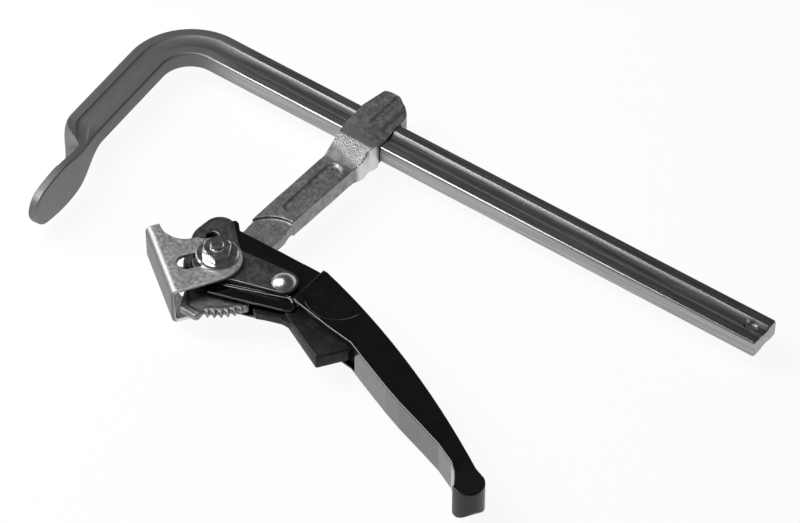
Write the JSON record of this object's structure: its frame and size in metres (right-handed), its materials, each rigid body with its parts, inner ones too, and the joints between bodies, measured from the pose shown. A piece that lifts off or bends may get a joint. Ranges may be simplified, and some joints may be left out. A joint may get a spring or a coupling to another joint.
{
  "type": "quick release bar clamp",
  "caption": "Quick release bar clamp: grooved steel rail with a bent jaw and oval pad, sliding arm, swivelling pressure plate, cam lever with ratchet and black grip",
  "frame": {"origin": "middle of the fixed pad's face, in the clamp's middle plane", "axes": "+X along the rail to its free end, +Y from the pads to the rail, +Z across the thickness, so the clamp lies on its side and the lever is on the -Y side of the rail"},
  "size_m": [0.4705, 0.2513, 0.0448],
  "materials": {
    "rail_steel": "burnished, with fine lengthwise lines",
    "pin_steel": "satin",
    "arm_steel": "forged skin under grey zinc, polished at the ramps",
    "bush_brass": "satin",
    "zinc_bright": "bright zinc plate",
    "plate_zinc": "satin zinc plate",
    "cam_steel": "smooth grey",
    "rivet_bright": "polished",
    "pawl_steel": "satin",
    "lever_black": "gloss black",
    "trigger_black": "satin black"
  },
  "bodies": {
    "rail": {"fixed_bar": "rail_steel", "stop_pin": "pin_steel"},
    "arm": {"sliding_arm": "arm_steel", "pivot_bush": "bush_brass", "thrust_washer_front": "zinc_bright", "thrust_washer_back": "zinc_bright", "pivot_bolt": "zinc_bright", "pivot_nut": "zinc_bright"},
    "lever": {"lever_handle": "lever_black", "cam_plate_front": "cam_steel", "cam_plate_back": "cam_steel", "cam_rivet": "rivet_bright", "pawl_bush": "bush_brass", "pawl_washer_front": "zinc_bright", "pawl_washer_back": "zinc_bright", "cross_pin": "lever_black"},
    "swivel": {"pivot_washer_front": "zinc_bright", "pivot_washer_back": "zinc_bright"},
    "plate": {"pressure_plate": "plate_zinc"},
    "trigger": {"pawl": "pawl_steel", "trigger": "trigger_black", "trigger_pins": "pin_steel"}
  },
  "joints": [
    {"name": "arm_slide", "type": "slide", "parent": "rail", "child": "arm", "axis": [1, 0, 0], "range_m": [-0.069, 0.269]},
    {"name": "lever_swing", "type": "hinge", "parent": "arm", "child": "lever", "pos_m": [0.1225, 0.009, 0], "axis": [0, 0, 1], "range_deg": [-45, 0]},
    {"name": "plate_swivel", "type": "hinge", "parent": "arm", "child": "swivel", "pos_m": [0.1225, 0.009, 0], "axis": [0, 0, 1], "range_deg": [-55, 0]},
    {"name": "plate_slide", "type": "slide", "parent": "swivel", "child": "plate", "axis": [-0.5736, -0.8192, 0], "range_m": [-0.0066, 0]},
    {"name": "trigger_pull", "type": "hinge", "parent": "lever", "child": "trigger", "pos_m": [0.1675, 0.0178, 0], "axis": [0, 0, 1], "range_deg": [0, 10], "stiffness_Nm_per_rad": 0.3, "springref_deg": -5.73}
  ],
  "couplings": [
    {"joint": "plate_slide", "follows": "plate_swivel", "m_per_rad": 0.00677}
  ]
}
